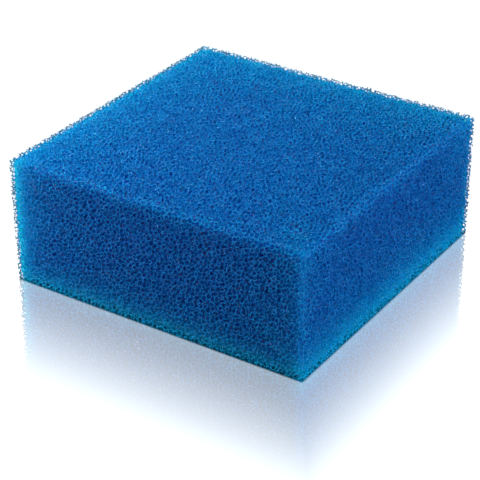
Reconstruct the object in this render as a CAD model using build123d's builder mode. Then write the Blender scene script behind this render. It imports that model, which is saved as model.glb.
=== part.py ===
from build123d import *
import os

# Coarse filter sponge: one square block of open-cell foam that fills a filter chamber.
# Millimetres. The origin is at the centre of the bottom face, and +Z runs up through
# the block's thickness. The sides are square to X and Y.

SIDE = 125.0  # length and width of the block
THICKNESS = 50.0  # height of the block as it lies in its chamber
CORNER_EASE = 1.5  # the cut corners are a little soft, on the four upright edges
RIM_EASE = 1.0  # the same softness round the top and bottom faces

os.makedirs("parts", exist_ok=True)

# The block is cut from a foam bun: a square outline, carried straight up.
with BuildPart() as foam_block:
    with BuildSketch(Plane.XY):
        RectangleRounded(SIDE, SIDE, CORNER_EASE)
    extrude(amount=THICKNESS)

    # Ease the rims of the two large faces.
    rims = foam_block.faces().group_by(Axis.Z)[0].edges()
    rims += foam_block.faces().group_by(Axis.Z)[-1].edges()
    fillet(rims, radius=RIM_EASE)

foam_block.part.label = "foam_block"
export_step(foam_block.part, "parts/foam_block.step")
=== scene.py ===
from itertools import combinations, product
from math import cos, radians, sin

import bpy
import numpy as np
from mathutils import Euler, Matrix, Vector
from mathutils.kdtree import KDTree


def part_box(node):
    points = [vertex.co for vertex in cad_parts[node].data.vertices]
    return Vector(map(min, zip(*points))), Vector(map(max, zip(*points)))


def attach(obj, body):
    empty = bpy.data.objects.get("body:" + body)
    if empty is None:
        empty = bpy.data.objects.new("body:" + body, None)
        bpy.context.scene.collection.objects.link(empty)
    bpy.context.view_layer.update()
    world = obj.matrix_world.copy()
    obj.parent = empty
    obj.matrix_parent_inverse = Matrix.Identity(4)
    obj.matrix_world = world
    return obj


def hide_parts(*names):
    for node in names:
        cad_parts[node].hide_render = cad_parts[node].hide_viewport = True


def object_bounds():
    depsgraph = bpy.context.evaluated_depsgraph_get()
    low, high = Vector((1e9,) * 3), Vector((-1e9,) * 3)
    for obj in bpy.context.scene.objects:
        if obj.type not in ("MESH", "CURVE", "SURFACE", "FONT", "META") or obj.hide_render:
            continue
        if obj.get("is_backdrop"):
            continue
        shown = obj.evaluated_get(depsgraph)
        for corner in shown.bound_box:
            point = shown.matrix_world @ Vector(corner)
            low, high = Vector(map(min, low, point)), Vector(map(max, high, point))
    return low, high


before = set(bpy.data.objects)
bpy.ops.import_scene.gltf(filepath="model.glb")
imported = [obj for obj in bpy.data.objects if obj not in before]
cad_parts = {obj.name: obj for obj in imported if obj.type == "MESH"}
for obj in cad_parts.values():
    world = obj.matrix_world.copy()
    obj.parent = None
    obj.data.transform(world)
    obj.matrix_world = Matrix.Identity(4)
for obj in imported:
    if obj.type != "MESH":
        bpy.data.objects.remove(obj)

# A block of blue reticulated foam. Its skin is a real network of foam struts, cut off at the
# block's faces, and the network closes over a solid core that stands for the cells further in.
# Metres throughout, in the CAD model's own frame.

CAD_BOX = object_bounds()
BLOCK_LOW, BLOCK_HIGH = (np.array(corner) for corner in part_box("foam_block"))
BLOCK_MIDDLE = (BLOCK_LOW + BLOCK_HIGH) / 2
BLOCK_HALF = (BLOCK_HIGH - BLOCK_LOW) / 2
LEFT, _, BASE = map(float, BLOCK_LOW)
RIGHT, BACK, TOP = map(float, BLOCK_HIGH)
NO_TRIANGLES = np.zeros((0, 3), int)
BLACK = (0, 0, 0, 1)
WHITE = (1, 1, 1, 1)

# Foam cells: two to each cube of side PITCH, in a periodic tile of TILE cubes a side.
TILE = 6
PITCH = 0.0020
SPREAD_ROUNDS = 12  # rounds in which cell centres push each other apart
SPREAD_REACH = 1.0  # distance within which they push, in pitches
SPREAD_STEP = 0.3  # share of a push that moves them
IMAGE_REACH = 3  # how far round the tile its repeated cells go, in pitches
NEIGHBOURS = 30  # nearest cells that can share a wall with a cell
CORNER_REACH = 1.5  # the square of how far out a cell's corners can be, in pitches
TOLERANCE = 1e-9  # by which a cell's corner may seem to lie past one of its walls
RELAX_ROUNDS = 3  # rounds in which a junction's neighbours pull it towards their middle
RELAX_STEP = 1 / 8  # share of their pull that moves it
STRETCH = (1.0, 1.0, 1.12)  # foam cells are longer in the direction in which the foam rose
TILE_TURN = Euler((0.48, 0.31, 0.77))  # no cell direction lies along a face
SPARE_COPIES = 2  # tile copies kept past those that reach the block
FOAM_SEED = 5

# Struts
NODE_RADIUS = 0.00025  # from a junction's middle to its corners
NODE_SPREAD = 0.18  # share by which junctions differ in size
WAIST = 0.66  # a strut's width at its middle, as a share of its width at its ends
PROUD, SHORT = 0.0008, 0.0002  # how far a cut strut ends past or before the cut, at most
SHORTEST = 0.15  # least share of its length that a cut strut keeps
SKIN_EASE = 0.0010  # softened corners of the block
OUTER_DEPTH = 0.0009  # depth down to which struts are in the outer layer and have a waist

# The core
CORE_DEPTH = 0.0009  # how far its faces are under the block's
CORE_EASE = 0.0009  # its softened corners
CORE_STEP = 0.00075  # its mesh spacing
CORE_RELIEF = 0.0009  # height of the cell pattern on it
CORE_CALM = 0.0050  # distance from the block's edges in which that pattern is lower
CORE_LEAST = 0.3  # share of its height that the pattern keeps there
WALL_WIDTH = 0.35  # width of the cell walls in that pattern, in pitches
BURIED = 0.0002  # depth under the core's surface at which struts are left out


# ---------------------------------------------------------------- the periodic tile of foam


def cell_centres(rng):
    """Cells of about the same size in no order: random points that have pushed each other apart."""
    centres = rng.uniform(0, TILE, (2 * TILE**3, 3))
    for _ in range(SPREAD_ROUNDS):
        gap = centres[:, None] - centres[None]
        gap -= TILE * np.round(gap / TILE)
        far = np.linalg.norm(gap, axis=2)
        np.fill_diagonal(far, np.inf)
        push = np.maximum(SPREAD_REACH - far, 0) / far
        centres = (centres + SPREAD_STEP * (gap * push[..., None]).sum(1)) % TILE
    return centres


def repeated(centres):
    """The cells of the tile and of the tiles round it, as place, cell number and tile shift."""
    shifts = np.array(list(product((-1, 0, 1), repeat=3)))
    place = (centres[None] + TILE * shifts[:, None]).reshape(-1, 3)
    number = np.tile(np.arange(len(centres)), len(shifts))
    shift = np.repeat(shifts, len(centres), axis=0)
    near = np.all((place > -IMAGE_REACH) & (place < TILE + IMAGE_REACH), axis=1)
    return place[near], number[near], shift[near]


def cell_corners(centres, place):
    """Where three walls of a cell meet: (cell, its three neighbours, the corner), for each."""
    gap = ((centres[:, None] - place[None]) ** 2).sum(2)
    nearest = np.argsort(gap, axis=1)[:, 1 : NEIGHBOURS + 1]
    normal = place[nearest] - centres[:, None]
    reach = (normal**2).sum(2) / 2
    trio = np.array(list(combinations(range(NEIGHBOURS), 3)))
    a, b, c = (normal[:, trio[:, k]] for k in range(3))
    reach_a, reach_b, reach_c = (reach[:, trio[:, k], None] for k in range(3))
    across = np.cross(b, c)
    with np.errstate(all="ignore"):
        spot = reach_a * across + reach_b * np.cross(c, a) + reach_c * np.cross(a, b)
        spot = spot / (a * across).sum(2, keepdims=True)
    cell, which = np.nonzero(np.isfinite(spot).all(2) & ((spot**2).sum(2) < CORNER_REACH))
    spot = spot[cell, which]
    real = (np.einsum("vk,vmk->vm", spot, normal[cell]) <= reach[cell] + TOLERANCE).all(1)
    cell, trio, spot = cell[real], trio[which[real]], spot[real]
    return cell, trio, nearest[cell[:, None], trio], centres[cell] + spot


SLOT_SUM = 0 + 1 + 2 + 3  # the numbers of a junction's four corners


class Tile:
    """The struts of one periodic cube of foam, in pitches.

    place: each junction. away: from a junction, the direction opposite to each of its four
    struts. ends, shift: each strut's two junctions, and the tile each lies in. slot: at each
    end, the three corners of the junction that the strut starts from, and opposite: the fourth.
    """

    def __init__(self, rng):
        self.centres = cell_centres(rng)
        image, number, image_shift = repeated(self.centres)
        cell, trio, side, corner_place = cell_corners(self.centres, image)
        four, moved = self.meeting_cells(cell, number[side], image_shift[side])
        cells_of, first, junction = np.unique(four, axis=0, return_index=True, return_inverse=True)
        self.place = (corner_place - TILE * moved)[first]
        corners, cells = self.paired(cell, trio, number[side])
        self.ends = junction.reshape(-1)[corners]
        self.shift = moved[corners]
        self.slot = (cells_of[self.ends][:, :, None] == cells[:, None, :, None]).argmax(3)
        self.opposite = SLOT_SUM - self.slot.sum(2)
        self.relax()
        self.away = self.directions()
        self.radius = NODE_RADIUS * (1 + rng.uniform(-NODE_SPREAD, NODE_SPREAD, len(self.place)))

    @staticmethod
    def meeting_cells(cell, side, side_shift):
        """The four cells that meet at each corner, in order, and the tile that the first is in."""
        four = np.concatenate([cell[:, None], side], axis=1)
        moved = np.concatenate([np.zeros((len(cell), 1, 3), int), side_shift], axis=1)
        order = np.argsort(four, axis=1)
        four = np.take_along_axis(four, order, axis=1)
        return four, np.take_along_axis(moved, order[..., None], axis=1)[:, 0]

    @staticmethod
    def paired(cell, trio, side):
        """Two corners of a cell that share two walls are the ends of one strut.

        Gives each strut's two corners, and the three cells that it runs between.
        """
        found = []
        for p, q in combinations(range(3), 2):
            own = np.flatnonzero((cell < side[:, p]) & (cell < side[:, q]))
            key = (cell[own] * NEIGHBOURS + trio[own, p]) * NEIGHBOURS + trio[own, q]
            found.append(np.stack([key, own, cell[own], side[own, p], side[own, q]], axis=1))
        found = np.concatenate(found)
        found = found[np.argsort(found[:, 0], kind="stable")].reshape(-1, 2, 5)
        return found[:, :, 1], found[:, 0, 2:]

    def steps(self):
        """From each strut's first junction to its second."""
        start = self.place[self.ends[:, 0]] + TILE * self.shift[:, 0]
        return self.place[self.ends[:, 1]] + TILE * self.shift[:, 1] - start

    def relax(self):
        """Pulls each junction towards the middle of its neighbours, as surface tension does."""
        for _ in range(RELAX_ROUNDS):
            step = self.steps()
            pull = np.zeros_like(self.place)
            np.add.at(pull, self.ends[:, 0], step)
            np.add.at(pull, self.ends[:, 1], -step)
            self.place = self.place + RELAX_STEP * pull

    def directions(self):
        """At each junction, the unit vectors that point straight away from its four struts."""
        step = self.steps()
        unit = step / np.linalg.norm(step, axis=1, keepdims=True)
        away = np.zeros((len(self.place), 4, 3))
        away[self.ends[:, 0], self.opposite[:, 0]] = -unit
        away[self.ends[:, 1], self.opposite[:, 1]] = unit
        return away


# ---------------------------------------------------------------- the tile laid into the block


TURN = np.array(TILE_TURN.to_matrix())
TO_BLOCK = TURN @ np.diag(STRETCH) * PITCH
TO_TILE = np.linalg.inv(TO_BLOCK)
NO_ZERO = 1e-12  # keeps a strut whose ends are equally deep from a division by nothing


def depth_in(point, half, ease):
    """How deep points are inside a box about the block's middle, with edges rounded by ease."""
    past = np.abs(point - BLOCK_MIDDLE) - (half - ease)
    outside = np.linalg.norm(np.maximum(past, 0), axis=-1)
    return ease - outside - np.minimum(past.max(-1), 0)


def tile_copies():
    """The lowest and highest tile shift that reach the block, with some to spare."""
    corner = np.array(list(product(*zip(BLOCK_LOW, BLOCK_HIGH, strict=True)))) - BLOCK_MIDDLE
    reach = corner @ TO_TILE.T / TILE
    low = np.floor(reach.min(0)).astype(int) - SPARE_COPIES
    high = np.ceil(reach.max(0)).astype(int) + SPARE_COPIES
    return low, high


class Skin:
    """Every strut of the block's skin, with its inner end first.

    place: each junction of every tile copy. strut: each strut's number in the tile. end: which
    of that strut's ends comes first. key, depth: the place and the depth of its two ends. outer:
    whether it is in the outer layer. cut: the share of its length that it keeps.
    """

    def __init__(self, tile, rng):
        self.tile = tile
        self.low, self.high = tile_copies()
        self.size = self.high - self.low + 1
        ranges = (range(low, high + 1) for low, high in zip(self.low, self.high, strict=True))
        copies = np.array(list(product(*ranges)))
        place = (tile.place[None] + TILE * copies[:, None]) @ TO_BLOCK.T + BLOCK_MIDDLE
        self.place = place.reshape(-1, 3)
        self.choose(copies, depth_in(place, BLOCK_HALF, SKIN_EASE), self.above_core(place))
        self.end = self.put_inner_end_first()
        self.outer = self.depth.mean(1) < OUTER_DEPTH
        self.cut = self.cut_shares(rng)

    @staticmethod
    def above_core(place):
        """How far places are above the depth in the core at which struts are left out."""
        return BURIED - depth_in(place, BLOCK_HALF - CORE_DEPTH, CORE_EASE)

    def copy_number(self, copy):
        """A tile copy's number among all copies, from its shift."""
        step = copy - self.low
        return (step[..., 0] * self.size[1] + step[..., 1]) * self.size[2] + step[..., 2]

    def choose(self, copies, depth, above):
        """Keeps the struts that have an end in the block and an end above the core."""
        inner = np.all((copies > self.low) & (copies < self.high), axis=1)
        copy = copies[inner & (depth.max(1) > 0) & (above.max(1) > 0)]
        shift, ends = self.tile.shift, self.tile.ends
        key = [
            self.copy_number(copy[:, None] + shift[None, :, k]) * len(self.tile.place) + ends[None, :, k]
            for k in range(2)
        ]
        end_depth = [depth.reshape(-1)[k] for k in key]
        end_above = [above.reshape(-1)[k] for k in key]
        row, self.strut = np.nonzero((np.maximum(*end_depth) > 0) & (np.maximum(*end_above) > 0))
        self.key = np.stack([k[row, self.strut] for k in key], axis=1)
        self.depth = np.stack([d[row, self.strut] for d in end_depth], axis=1)

    def put_inner_end_first(self):
        """Turns round each strut whose first end is outside the block."""
        flip = self.depth[:, 0] < 0
        self.key[flip] = self.key[flip, ::-1]
        self.depth[flip] = self.depth[flip, ::-1]
        return np.where(flip[:, None], [[1, 0]], [[0, 1]])

    def cut_shares(self, rng):
        """What each strut keeps when cut: level under the block, ragged at its other faces."""
        ragged = rng.uniform(-PROUD, SHORT, len(self.strut))
        level = self.place[self.key, 2] - BASE
        under = level[:, 1] < 0
        ragged[under] = 0
        level[~under] = self.depth[~under]
        share = (level[:, 0] - ragged) / (level[:, 0] - level[:, 1] + NO_ZERO)
        return np.where(self.depth[:, 1] < 0, np.clip(share, SHORTEST, 1), 1.0)

    def middle(self):
        return self.place[self.key].mean(1)


REVERSED = [0, 2, 1]  # a triangle's corners, the other way round


def node_corners(skin, key):
    """The four corners of each junction."""
    tile = skin.tile
    junction = key % len(tile.place)
    out = tile.away[junction] @ TURN.T
    return skin.place[key][:, None] + tile.radius[junction, None, None] * out


def ring(start, end, share):
    """A strut's cross-section at a share of its length, narrowed towards the strut's middle."""
    share = share[:, None, None]
    rail = start * (1 - share) + end * share
    axis = rail.mean(1, keepdims=True)
    width = WAIST + (1 - WAIST) * (2 * share - 1) ** 2
    return axis + width * (rail - axis)


def bands(low_ring, high_ring):
    """The three quads between two rings of three corners."""
    after = [1, 2, 0]
    quad = np.stack([low_ring, low_ring[:, after], high_ring[:, after], high_ring], axis=2)
    return quad.reshape(-1, 4)


def strut_rails(skin, key, slot):
    """Each strut's three corners at its two ends, with their slots, so that its faces look out."""
    row = np.arange(len(key))[:, None]
    rail = [node_corners(skin, key[:, k])[row, slot[k]] for k in range(2)]
    along = rail[1].mean(1) - rail[0].mean(1)
    normal = np.cross(rail[0][:, 1] - rail[0][:, 0], rail[0][:, 2] - rail[0][:, 0])
    left = (normal * along).sum(1) < 0
    for k in range(2):
        slot[k][left] = slot[k][left][:, REVERSED]
        rail[k][left] = rail[k][left][:, REVERSED]
    return rail, slot


def strut_mesh(skin, chosen):
    """Points, quads and triangles of the chosen struts, closed where a strut is cut or missing."""
    tile = skin.tile
    strut, end = skin.strut[chosen], skin.end[chosen]
    key, cut, outer = skin.key[chosen], skin.cut[chosen], skin.outer[chosen]
    whole = skin.depth[chosen, 1] >= 0
    rail, slot = strut_rails(skin, key, [tile.slot[strut, end[:, k]] for k in range(2)])

    # The points: four for each junction, then three for each cut end, then three for each waist.
    used, rank = np.unique(np.concatenate([key[:, 0], key[whole, 1]]), return_inverse=True)
    first_node, last_node = rank[: len(strut)], rank[len(strut) :]
    points = [node_corners(skin, used).reshape(-1, 3)]
    start = 4 * first_node[:, None] + slot[0]
    finish = np.zeros_like(start)
    finish[whole] = 4 * last_node[:, None] + slot[1][whole]
    total = 4 * len(used)

    cut_row = np.flatnonzero(~whole)
    finish[cut_row] = total + np.arange(3 * len(cut_row)).reshape(-1, 3)
    points.append(ring(rail[0][cut_row], rail[1][cut_row], cut[cut_row]).reshape(-1, 3))
    total += 3 * len(cut_row)

    waist = total + np.arange(3 * outer.sum()).reshape(-1, 3)
    points.append(ring(rail[0][outer], rail[1][outer], cut[outer] / 2).reshape(-1, 3))
    quads = [
        bands(start[~outer], finish[~outer]),
        bands(start[outer], waist),
        bands(waist, finish[outer]),
    ]

    taken = np.zeros((len(used), 4), bool)
    taken[first_node, tile.opposite[strut, end[:, 0]]] = True
    taken[last_node, tile.opposite[strut, end[:, 1]][whole]] = True
    caps = node_caps(skin, used, taken)
    return np.concatenate(points), np.concatenate(quads), np.concatenate([finish[cut_row], caps])


def node_caps(skin, used, taken):
    """The triangles that close each junction where a strut is missing."""
    node, gone = np.nonzero(~taken)
    others = np.array([[1, 2, 3], [0, 2, 3], [0, 1, 3], [0, 1, 2]])[gone]
    corner = node_corners(skin, used[node])
    at = corner[np.arange(len(node))[:, None], others]
    normal = np.cross(at[:, 1] - at[:, 0], at[:, 2] - at[:, 0])
    outward = at.mean(1) - corner.mean(1)
    wrong = (normal * outward).sum(1) < 0
    others[wrong] = others[wrong][:, REVERSED]
    return 4 * node[:, None] + others


def add_mesh(name, points, quads, triangles, smooth=True):
    """A mesh object from arrays of points, four-sided faces and three-sided faces."""
    mesh = bpy.data.meshes.new(name)
    mesh.vertices.add(len(points))
    mesh.vertices.foreach_set("co", np.asarray(points, np.float32).ravel())
    corners = np.concatenate([quads.ravel(), triangles.ravel()]).astype(np.int32)
    mesh.loops.add(len(corners))
    mesh.loops.foreach_set("vertex_index", corners)
    first = np.concatenate([4 * np.arange(len(quads)), 4 * len(quads) + 3 * np.arange(len(triangles))])
    mesh.polygons.add(len(first))
    mesh.polygons.foreach_set("loop_start", first.astype(np.int32))
    mesh.polygons.foreach_set("use_smooth", np.full(len(first), smooth))
    mesh.update(calc_edges=True)
    mesh.validate()
    piece = bpy.data.objects.new(name, mesh)
    bpy.context.collection.objects.link(piece)
    return piece


# ---------------------------------------------------------------- the core


def box_grid(low, high, step):
    """A closed box of small quads, as points and quads."""
    count = np.maximum(np.round((high - low) / step).astype(int), 2)
    points, quads, total = [], [], 0
    for axis, side in product(range(3), (0, 1)):
        u, v = (axis + 1) % 3, (axis + 2) % 3
        grid_u, grid_v = np.meshgrid(np.arange(count[u] + 1), np.arange(count[v] + 1), indexing="ij")
        place = np.zeros((*grid_u.shape, 3), int)
        place[..., axis] = side * count[axis]
        place[..., u] = grid_u
        place[..., v] = grid_v
        number = total + np.arange(grid_u.size).reshape(grid_u.shape)
        quad = np.stack([number[:-1, :-1], number[1:, :-1], number[1:, 1:], number[:-1, 1:]], axis=-1)
        quads.append(quad.reshape(-1, 4)[:, :: 1 if side else -1])
        points.append(place.reshape(-1, 3))
        total += grid_u.size
    points, number = np.unique(np.concatenate(points), axis=0, return_inverse=True)
    return low + (high - low) * points / count, number.reshape(-1)[np.concatenate(quads)]


def eased(points, depth, ease):
    """Points of a box moved onto the same box with rounded corners, with their normals."""
    inner = BLOCK_HALF - depth - ease
    local = points - BLOCK_MIDDLE
    base = np.clip(local, -inner, inner)
    out = local - base
    out = out / np.linalg.norm(out, axis=1, keepdims=True)
    return BLOCK_MIDDLE + base + ease * out, out


def wall_nearness(points, tile):
    """0 in the middle of a foam cell and 1 on the walls between cells."""
    image = repeated(tile.centres)[0]
    tree = KDTree(len(image))
    for number, centre in enumerate(image):
        tree.insert(centre, number)
    tree.balance()
    local = ((points - BLOCK_MIDDLE) @ TO_TILE.T) % TILE
    nearest = np.array([[found[2] for found in tree.find_n(point, 2)] for point in local])
    return 1 - np.clip((nearest[:, 1] - nearest[:, 0]) / WALL_WIDTH, 0, 1)


def core(tile):
    """A closed body under the skin, with the cell walls that it stands for in relief."""
    half = BLOCK_HALF - CORE_DEPTH
    points, quads = box_grid(BLOCK_MIDDLE - half, BLOCK_MIDDLE + half, CORE_STEP)
    points, out = eased(points, CORE_DEPTH, CORE_EASE)
    wall = wall_nearness(points, tile)
    inset = BLOCK_HALF - np.abs(points - BLOCK_MIDDLE)
    inward = np.clip(np.sort(inset, axis=1)[:, 1] / CORE_CALM, CORE_LEAST, 1)
    points = points + out * (CORE_RELIEF * (wall - 1) * inward)[:, None]
    piece = add_mesh("foam_core", points, quads, NO_TRIANGLES)
    piece.data.attributes.new("wall", "FLOAT", "POINT").data.foreach_set("value", wall)
    return piece


# ---------------------------------------------------------------- materials


class Nodes:
    """Adds nodes to a node tree, each call giving back the new node's output."""

    def __init__(self, tree):
        self.tree = tree

    def add(self, kind, inputs, output=0, **settings):
        node = self.tree.nodes.new(kind)
        for name, value in settings.items():
            setattr(node, name, value)
        self.fill(node, inputs)
        return node.outputs[output]

    def fill(self, node, inputs):
        """Links or sets a node's inputs."""
        for socket, value in inputs.items():
            if isinstance(value, bpy.types.NodeSocket):
                self.tree.links.new(value, node.inputs[socket])
            else:
                node.inputs[socket].default_value = value

    def math(self, operation, a, b=0.0, c=0.0):
        return self.add("ShaderNodeMath", {0: a, 1: b, 2: c}, operation=operation)

    def least(self, a, b):
        return self.math("MINIMUM", a, b)

    def most(self, a, b):
        return self.math("MAXIMUM", a, b)

    def minus(self, a, b):
        return self.math("SUBTRACT", a, b)

    def times(self, a, b):
        return self.math("MULTIPLY", a, b)

    def fade(self, distance, length):
        """1 at no distance, falling off over a length."""
        return self.math("EXPONENT", self.times(distance, -1 / length))

    def span(self, value, start, end, first=0.0, last=1.0, **settings):
        """Maps start..end onto first..last, and holds beyond them."""
        inputs = {"Value": value, 1: start, 2: end, 3: first, 4: last}
        return self.add("ShaderNodeMapRange", inputs, **settings)

    def vector(self, operation, a, b=(0, 0, 0), output="Vector"):
        return self.add("ShaderNodeVectorMath", {0: a, 1: b}, output=output, operation=operation)

    def parts(self, vector):
        """A vector's X, Y and Z."""
        return self.add("ShaderNodeSeparateXYZ", {0: vector}).node.outputs

    def place(self):
        return self.add("ShaderNodeTexCoord", {}, output="Object")

    def from_middle(self, place):
        """How far a place is from the block's middle, along each axis."""
        return self.vector("ABSOLUTE", self.vector("SUBTRACT", place, tuple(BLOCK_MIDDLE)))

    def noise(self, place, size):
        return self.add("ShaderNodeTexNoise", {"Vector": place, "Scale": 1 / size}, output="Fac")

    def blend(self, factor, a, b, blend_type="MIX"):
        inputs = {"Factor": factor, 6: a, 7: b}
        return self.add("ShaderNodeMix", inputs, output=2, data_type="RGBA", blend_type=blend_type)


def new_material(name):
    """A new material, and what adds nodes to it."""
    material = bpy.data.materials.new(name)
    material.use_nodes = True
    return material, Nodes(material.node_tree)


DEEP_BLUE = (0.006, 0.255, 0.66, 1)
# Painted light: the colour of the glow near the block's edges.
EDGE_GLOW_BLUE = (0.005, 0.54, 0.84, 1)
# Painted light: the colour of the glow near the block's base.
BASE_GLOW_BLUE = (0.010, 0.76, 1.0, 1)
# Painted shade: the next two are the darker colours along the far edges and on the cut ends there.
RIM_SHADE_BLUE = (0.005, 0.25, 0.35, 1)
FRINGE_SHADE_BLUE = (0.001, 0.035, 0.050, 1)

# Painted light: light comes through the foam near the block's edges, and that light is painted into
# its colour. For each kind of edge: how far from it that light has fallen by two thirds, and its
# strength at the edge.
UPRIGHT_GLOW = 0.0100
TOP_GLOW, TOP_SHARE = 0.0030, 0.45
RIGHT_SHARE = 0.45  # share of those two at the block's right, against its left
FAR_TOP_GLOW, FAR_TOP_SHARE = 0.0180, 0.6
BOTTOM_GLOW, BOTTOM_SHARE = 0.0080, 0.9
RIGHT_BASE_GLOW, RIGHT_BASE_SHARE = 0.0120, 1.0
BASE_POWER = 2.6  # how close to the base the painted glow's blue keeps
EVEN = 1.3  # share by which that painted light evens out the foam's painted shade

# Painted shade: along the edges of the two far faces, the left and the back, the foam is darker.
RIM_SHADE_SPAN = 0.0008, 0.0026  # distances from those edges between which the rim's painted shade fades
FRINGE_SHADE_SPAN = -0.0002, 0.0005  # depths between which the painted shade of the cut ends there fades

DEPTH_SHADE = 0.0017  # painted shade: depth at which the foam's colour has fallen by two thirds
BLUE_POWER = 0.5  # how much more slowly the blue of that painted shade falls
CLOUD_SIZE = 0.006  # width of its soft lighter and darker patches
CLOUD_SHARE = 0.5  # how much they differ
PORE_LIGHT = 0.35  # painted shade: the middle of a cell on the core, as a share of its walls
FOAM_ROUGHNESS = 0.20
FOAM_GLOSS = 0.12
INNER_REACH = 0.016  # how far light gets through the core
INNER_COLOUR = (0.1, 1.2, 1.0)  # how far each colour does, as a share of that


class Spot:
    """A place in the foam: its depths in the block, and its distances from the block's faces.

    side, other: its depths from the nearest and the other pair of upright faces. level: its
    depth from the top or the base. inward: the least of these. far: its distance from the
    nearest of the two far faces.
    """

    def __init__(self, nodes):
        self.place = nodes.place()
        x, y, self.level = nodes.parts(
            nodes.vector("SUBTRACT", tuple(BLOCK_HALF), nodes.from_middle(self.place))
        )
        self.side = nodes.least(x, y)
        self.other = nodes.most(x, y)
        self.inward = nodes.least(self.side, self.level)
        self.across, along, height = nodes.parts(self.place)
        self.far = nodes.least(nodes.minus(self.across, LEFT), nodes.minus(BACK, along))
        self.from_right = nodes.minus(RIGHT, self.across)
        self.from_top = nodes.minus(TOP, height)
        self.from_base = nodes.minus(height, BASE)


def painted_edge_light(nodes, spot):
    """Painted light, for the light that comes through near the block's upright and top edges."""
    upright = nodes.fade(spot.other, UPRIGHT_GLOW)
    top = nodes.times(nodes.fade(nodes.most(spot.side, spot.from_top), TOP_GLOW), TOP_SHARE)
    sides = nodes.span(spot.across, LEFT, RIGHT, 1.0, RIGHT_SHARE)
    near = nodes.times(nodes.most(upright, top), sides)
    far = nodes.fade(nodes.most(spot.far, spot.from_top), FAR_TOP_GLOW)
    return nodes.most(near, nodes.times(far, FAR_TOP_SHARE))


def painted_base_light(nodes, spot):
    """Painted light, for the light that comes through near the block's base, more so on its right."""
    low = nodes.fade(nodes.most(spot.side, spot.from_base), BOTTOM_GLOW)
    right = nodes.fade(nodes.most(spot.from_right, spot.from_base), RIGHT_BASE_GLOW)
    both = nodes.most(nodes.times(low, BOTTOM_SHARE), nodes.times(right, RIGHT_BASE_SHARE))
    return nodes.least(both, 1.0)


def hue_with_painted_light(nodes, spot, painted_glow, low):
    """The foam's own blue, with painted light and shade: greener where light comes through, darker along
    the far edges.
    """
    hue = nodes.blend(painted_glow, DEEP_BLUE, EDGE_GLOW_BLUE)
    # Painted light near the base, in its own lighter glow colour.
    hue = nodes.blend(nodes.math("POWER", low, BASE_POWER), hue, BASE_GLOW_BLUE)
    second = nodes.most(spot.side, nodes.least(spot.other, spot.level))
    # Painted shade along the far faces' edges, darkest on the cut ends there.
    rim_shade = nodes.times(nodes.span(spot.far, *RIM_SHADE_SPAN, 1.0, 0.0), nodes.span(second, *RIM_SHADE_SPAN, 1.0, 0.0))
    fringe_shade = nodes.times(rim_shade, nodes.span(spot.inward, *FRINGE_SHADE_SPAN, 1.0, 0.0))
    return nodes.blend(fringe_shade, nodes.blend(rim_shade, hue, RIM_SHADE_BLUE), FRINGE_SHADE_BLUE)


def tone_and_painted_light(nodes, spot, painted_glow, wall):
    """How light the foam is, in painted shade: less with depth and, on the core, in the middle of its
    cells.
    """
    cloud = nodes.noise(spot.place, CLOUD_SIZE)
    cloud = nodes.math("MULTIPLY_ADD", cloud, CLOUD_SHARE, 1 - CLOUD_SHARE / 2)
    # Painted shade: darker with depth, times soft random patches of tone.
    light = nodes.times(nodes.fade(nodes.most(spot.inward, 0), DEPTH_SHADE), cloud)
    if wall:
        height = nodes.add("ShaderNodeAttribute", {}, output="Fac", attribute_name="wall")
        # Painted shade: the middle of each of the core's cells darker than its walls.
        light = nodes.times(light, nodes.math("MULTIPLY_ADD", height, 1 - PORE_LIGHT, PORE_LIGHT))
    # The painted glow near the edges lifts that shade.
    return nodes.most(light, nodes.least(nodes.times(painted_glow, EVEN), 1.0))


def foam_material(name, wall=False):
    """Blue foam, with painted light and shade in its colour. wall is for the core, which has cell walls
    in relief and lets light through.
    """
    material, nodes = new_material(name)
    spot = Spot(nodes)
    low = painted_base_light(nodes, spot)
    painted_glow = nodes.least(nodes.most(painted_edge_light(nodes, spot), low), 1.0)
    light = tone_and_painted_light(nodes, spot, painted_glow, wall)
    # Painted shade falls more slowly in blue than in red and green.
    blue = nodes.math("POWER", light, BLUE_POWER)
    tone_and_painted_light_tint = nodes.add("ShaderNodeCombineColor", {0: light, 1: light, 2: blue})
    look = {
        "Base Color": nodes.blend(1.0, hue_with_painted_light(nodes, spot, painted_glow, low), tone_and_painted_light_tint, "MULTIPLY"),
        "Roughness": FOAM_ROUGHNESS,
        "Specular IOR Level": FOAM_GLOSS,
        "Subsurface Weight": 1.0 if wall else 0.0,
        "Subsurface Radius": INNER_COLOUR,
        "Subsurface Scale": INNER_REACH,
    }
    nodes.fill(material.node_tree.nodes["Principled BSDF"], look)
    return material


FLOOR_LIGHT = (1.0, 1.08, 1.15, 1)
MIRROR = 0.66  # share of the floor's look that is reflection, against the block
MIRROR_REACH = (0.031, 0.047, 1)  # distances from the block, in X and Y, at which that has gone
MIRROR_POWER = 1.6  # how late in that reach the reflection fades
MIRROR_ROUGHNESS = 0.03
CONTACT = 0.0008  # width of the painted contact shadow round the block, where it touches the floor


def larger_of_two(nodes, vector):
    """The larger of a vector's X and Y."""
    x, y, _ = nodes.parts(vector)
    return nodes.most(x, y)


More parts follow.
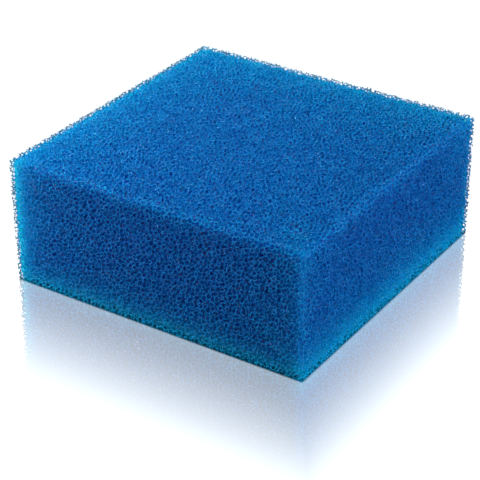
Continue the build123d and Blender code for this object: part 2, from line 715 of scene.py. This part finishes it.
def floor_material():
    """White acrylic lit from below, which mirrors the block close to it; its light is left out under the
    block and in a thin painted contact shadow round it.
    """
    material, nodes = new_material("white_gloss")
    beyond = nodes.vector("SUBTRACT", nodes.from_middle(nodes.place()), tuple(BLOCK_HALF))
    far = larger_of_two(nodes, nodes.vector("DIVIDE", beyond, MIRROR_REACH))
    faded = nodes.math("POWER", nodes.span(far, 0.0, 1.0), MIRROR_POWER)
    mirror = nodes.span(faded, 0.0, 1.0, MIRROR, 0.0)
    shader = material.node_tree.nodes["Principled BSDF"]
    look = {
        "Base Color": BLACK,
        "Roughness": 1.0,
        "Specular IOR Level": 0.0,
        "Emission Color": FLOOR_LIGHT,
        # Painted contact shadow: no light from the floor under the block, rising to full over CONTACT.
        "Emission Strength": nodes.span(larger_of_two(nodes, beyond), 0.0, CONTACT),
    }
    nodes.fill(shader, look)
    gloss = nodes.add("ShaderNodeBsdfGlossy", {"Color": WHITE, "Roughness": MIRROR_ROUGHNESS})
    both = nodes.add("ShaderNodeMixShader", {0: mirror, 1: shader.outputs[0], 2: gloss})
    nodes.fill(material.node_tree.nodes["Material Output"], {"Surface": both})
    return material


# ---------------------------------------------------------------- pieces


def region(point):
    """The face nearest to each point, 0 to 5: low X, high X, low Y, high Y, low Z, high Z."""
    low, high = point - BLOCK_LOW, BLOCK_HIGH - point
    gap = np.stack([low[:, 0], high[:, 0], low[:, 1], high[:, 1], low[:, 2], high[:, 2]], axis=1)
    return gap.argmin(1)


# The faces in that order, with the axes along which the struts of each are split in two
FACES = {
    "left": (1,),
    "right": (1,),
    "front": (0,),
    "back": (0,),
    "bottom": (0, 1),
    "top": (0, 1),
}


def flat_layout(mesh, normal_axis):
    """Flat texture coordinates, seen straight onto a face of the block."""
    across, up = (axis for axis in range(3) if axis != normal_axis)
    place = np.empty(3 * len(mesh.vertices), np.float32)
    mesh.vertices.foreach_get("co", place)
    flat = place.reshape(-1, 3)[:, [across, up]]
    flat = (flat - flat.min(0)) / (flat.max(0) - flat.min(0))
    corner = np.empty(len(mesh.loops), np.int32)
    mesh.loops.foreach_get("vertex_index", corner)
    layer = mesh.uv_layers.new(name="OFBake")
    layer.uv.foreach_set("vector", flat[corner].ravel())


def skin_pieces(skin):
    """The struts nearest to each face, in an outer and an under layer, in parts of a fair size."""
    middle = skin.middle()
    face = region(middle)
    for number, (name, axes) in enumerate(FACES.items()):
        for layer, deep in (("skin", skin.outer), ("under", ~skin.outer)):
            parts = [(face == number) & deep]
            for axis in axes:
                right = middle[:, axis] > BLOCK_MIDDLE[axis]
                parts = [p & s for p in parts for s in (right, ~right)]
            for index, part in enumerate(parts):
                mesh = strut_mesh(skin, np.flatnonzero(part))
                piece = add_mesh(f"foam_{layer}_{name}_{index + 1}", *mesh)
                flat_layout(piece.data, number // 2)
                yield piece


def dress(piece, material):
    piece.data.materials.append(material)
    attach(piece, "root")
    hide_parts("foam_block")


# ---------------------------------------------------------------- stage, light and camera

SIDE = RIGHT - LEFT
CAMERA_AZIMUTH, CAMERA_ELEVATION = 32.91, 28.33  # where the camera stands, round the block
CAMERA_DISTANCE = 5.02 * SIDE
CAMERA_TURN, CAMERA_DIP = 33.22, 29.83  # where it looks
FOCAL_SHARE = 3.45833  # focal length, as a share of the picture's width
SENSOR = 36.0  # millimetres
CLIP_START, CLIP_END = 0.01, 20
FLOOR_HALF = 8.0

# The sweep's light: its strength in front of the block and behind it, and the cosines of the
# angles from straight behind between which it changes
FRONT_LIGHT, BACK_LIGHT = 0.05, 1.4
FRONT_EDGE, BACK_EDGE = 0.0, 0.75
LOW_SKY, HIGH_SKY = 0.6, 0.85  # sines of the heights between which the sweep's light falls off
SKY_SHARE = 0.15  # share of it that is left overhead


def toward(azimuth, elevation):
    """The direction from the block at two angles in degrees: round it and above the floor."""
    turn, rise = radians(azimuth), radians(elevation)
    return Vector((sin(turn) * cos(rise), -cos(turn) * cos(rise), sin(rise)))


def facing(direction):
    """The turn of a camera or lamp that looks along a direction."""
    return direction.to_track_quat("-Z", "Y").to_euler()


def camera():
    data = bpy.data.cameras.new("camera")
    data.sensor_width = SENSOR
    data.lens = SENSOR * FOCAL_SHARE
    data.clip_start, data.clip_end = CLIP_START, CLIP_END
    view = bpy.data.objects.new("camera", data)
    view.location = Vector(BLOCK_MIDDLE) + CAMERA_DISTANCE * toward(CAMERA_AZIMUTH, CAMERA_ELEVATION)
    view.rotation_euler = facing(-toward(CAMERA_TURN, CAMERA_DIP))
    bpy.context.collection.objects.link(view)
    bpy.context.scene.camera = view


def softbox(name, angles, distance, size, power, colour, mirrored=True):
    """A square lamp that faces the block's middle, at an azimuth and an elevation round it."""
    data = bpy.data.lights.new(name, "AREA")
    data.shape = "SQUARE"
    data.size = size
    data.energy = power
    data.color = colour
    lamp = bpy.data.objects.new(name, data)
    lamp.location = Vector(BLOCK_MIDDLE) + distance * toward(*angles)
    lamp.rotation_euler = facing(-toward(*angles))
    lamp.visible_camera = False
    lamp.visible_glossy = mirrored
    bpy.context.collection.objects.link(lamp)


def sweep():
    """A white sweep behind the block, and darkness in front of it."""
    world = bpy.data.worlds.new("studio")
    world.use_nodes = True
    nodes = Nodes(world.node_tree)
    direction = nodes.add("ShaderNodeTexCoord", {}, output="Generated")
    behind = nodes.vector("DOT_PRODUCT", direction, -toward(CAMERA_AZIMUTH, 0), output="Value")
    ends = (FRONT_EDGE, BACK_EDGE, FRONT_LIGHT, BACK_LIGHT)
    light = nodes.span(behind, *ends, interpolation_type="SMOOTHSTEP")
    sky = nodes.span(nodes.parts(direction)[2], LOW_SKY, HIGH_SKY, 1.0, SKY_SHARE)
    look = {"Strength": nodes.times(light, sky), "Color": WHITE}
    nodes.fill(world.node_tree.nodes["Background"], look)
    bpy.context.scene.world = world


def lamps():
    """Broad lamps overhead and on the right, and small ones on the left that graze the struts."""
    overhead = (0.1, 1.35, 1.05)
    softbox("overhead", (0, 90), distance=1.0, size=0.3, power=4.4, colour=overhead, mirrored=False)
    softbox("side", (95, 15), distance=1.0, size=0.6, power=5.0, colour=(0.1, 0.68, 1.17))
    softbox("key", (-48, 42), distance=0.35, size=0.05, power=0.81, colour=(0.9, 0.61, 0.91))
    softbox("behind", (-100, 30), distance=0.30, size=0.06, power=0.42, colour=(0.5, 1, 0.8))
    softbox("strip", (-43, 0), distance=0.130, size=0.04, power=0.010, colour=(0.8, 0.9, 1))


def floor():
    corners = np.array([(-1, -1, 0), (1, -1, 0), (1, 1, 0), (-1, 1, 0)], float)
    face = np.array([[0, 1, 2, 3]])
    stage = add_mesh("floor", FLOOR_HALF * corners, face, NO_TRIANGLES, smooth=False)
    stage.data.materials.append(floor_material())
    stage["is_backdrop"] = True


def build():
    rng = np.random.default_rng(FOAM_SEED)
    tile = Tile(rng)
    skin = Skin(tile, rng)
    struts = foam_material("foam_struts")
    for piece in skin_pieces(skin):
        dress(piece, struts)
    dress(core(tile), foam_material("foam_inside", wall=True))
    floor()
    camera()
    sweep()
    lamps()


build()
bpy.context.scene.view_settings.view_transform = "Standard"
boxes = {"cad": CAD_BOX, "visual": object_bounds()}
{name: [list(corner) for corner in box] for name, box in boxes.items()}
